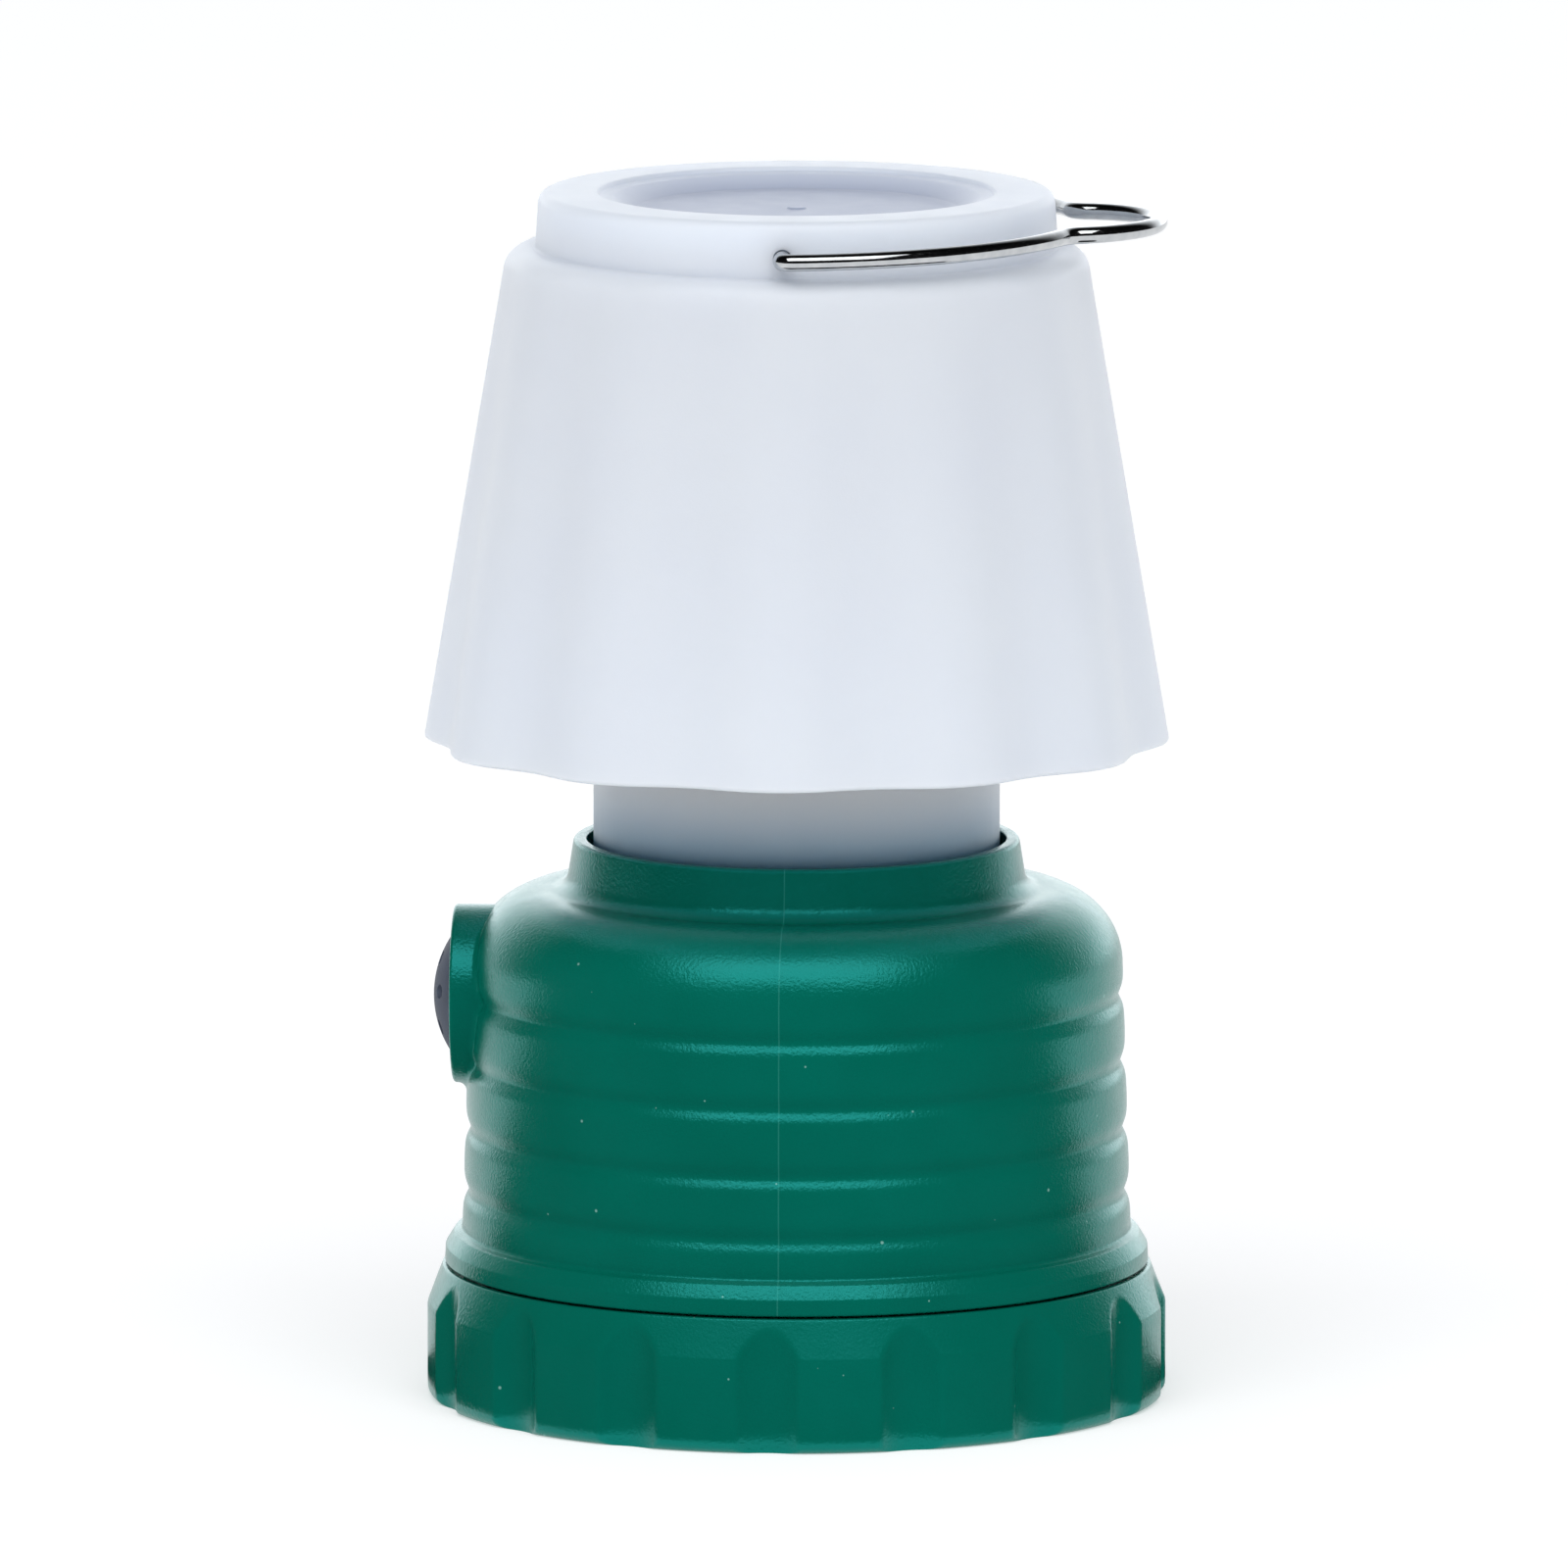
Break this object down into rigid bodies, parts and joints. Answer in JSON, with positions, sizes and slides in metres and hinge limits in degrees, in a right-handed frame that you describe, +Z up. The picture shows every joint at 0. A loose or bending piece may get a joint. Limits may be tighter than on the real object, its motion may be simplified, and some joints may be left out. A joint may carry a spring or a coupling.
{
  "type": "camping lantern",
  "caption": "Small battery camping lantern shaped like a table lamp, with a ribbed housing, screw-on battery cap, frosted column, fluted shade and folding wire bail.",
  "frame": {"origin": "centre of the battery cap's flat underside, where the lantern stands", "axes": "+Z up through the lantern's axis; -Y front, with the housing's mould seam; -X the push button's side; +X the side the bail is folded down on"},
  "size_m": [0.0804, 0.0804, 0.1308],
  "materials": {
    "green_plastic": "fine spark-eroded moulding grain, satin",
    "frosted_shade": "translucent frosted white, faint bluish cast",
    "frosted_column": "translucent frosted, smooth satin",
    "slate_rubber": "matt, dimpled",
    "seal_rubber": "matt",
    "bail_wire": "polished nickel-plated spring steel wire",
    "button_black": "matt",
    "white_moulding": "matt",
    "black_moulding": "matt",
    "nickel_contact": "nickel-plated spring steel",
    "screw_steel": "zinc-plated",
    "board_green": "solder mask",
    "board_white": "white solder mask",
    "led": "phosphor yellow under clear silicone",
    "cell_can": "printed label over a steel can",
    "silvered": "vacuum-metallised plastic",
    "lead_red": "insulated lead",
    "lead_black": "insulated lead"
  },
  "bodies": {
    "lamp_body": {"housing": "green_plastic", "shade": "frosted_shade", "diffuser_tube": "frosted_column", "battery_sleeve": "white_moulding", "sleeve_screw_1": "screw_steel", "sleeve_screw_2": "screw_steel", "sleeve_screw_3": "screw_steel", "led_board": "board_white", "led_1": "led", "led_2": "led", "led_3": "led", "board_screw_1": "screw_steel", "board_screw_2": "screw_steel", "led_reflector": "white_moulding", "cone_reflector": "silvered", "lead_wire_red": "lead_red", "lead_wire_black": "lead_black", "tact_switch": "black_moulding", "switch_board": "board_green", "switch_board_screw_1": "screw_steel", "switch_board_screw_2": "screw_steel", "cell_carrier": "black_moulding", "negative_contact": "nickel_contact", "positive_contact": "nickel_contact", "upper_link": "nickel_contact", "lower_link": "nickel_contact", "cell_1": "cell_can", "cell_2": "cell_can", "cell_3": "cell_can", "cell_spring_1": "nickel_contact", "cell_spring_2": "nickel_contact", "cell_spring_3": "nickel_contact", "centre_contact_spring": "nickel_contact", "ring_contact_spring": "nickel_contact"},
    "button": {"power_button": "slate_rubber", "switch_plunger": "button_black"},
    "cap_seal": {"cap_gasket": "seal_rubber"},
    "cap": {"base_cap": "green_plastic"},
    "bail_handle": {"bail": "bail_wire"}
  },
  "joints": [
    {"name": "bail_swing", "type": "hinge", "parent": "lamp_body", "child": "bail_handle", "pos_m": [0, 0, 0.12695], "axis": [0, -1, 0], "range_deg": [0, 177.2]},
    {"name": "button_press", "type": "slide", "parent": "lamp_body", "child": "button", "axis": [1, 0, 0], "range_m": [0, 0.0012], "stiffness_N_per_m": 2000, "springref_m": -0.0003},
    {"name": "cap_travel", "type": "slide", "parent": "lamp_body", "child": "cap_seal", "axis": [0, 0, -1], "range_m": [0, 0.00376]},
    {"name": "cap_turn", "type": "hinge", "parent": "cap_seal", "child": "cap", "pos_m": [0, 0, 0.002], "axis": [0, 0, -1], "range_deg": [0, 150]}
  ],
  "couplings": [
    {"joint": "cap_travel", "follows": "cap_turn", "m_per_rad": 0.0014324}
  ]
}
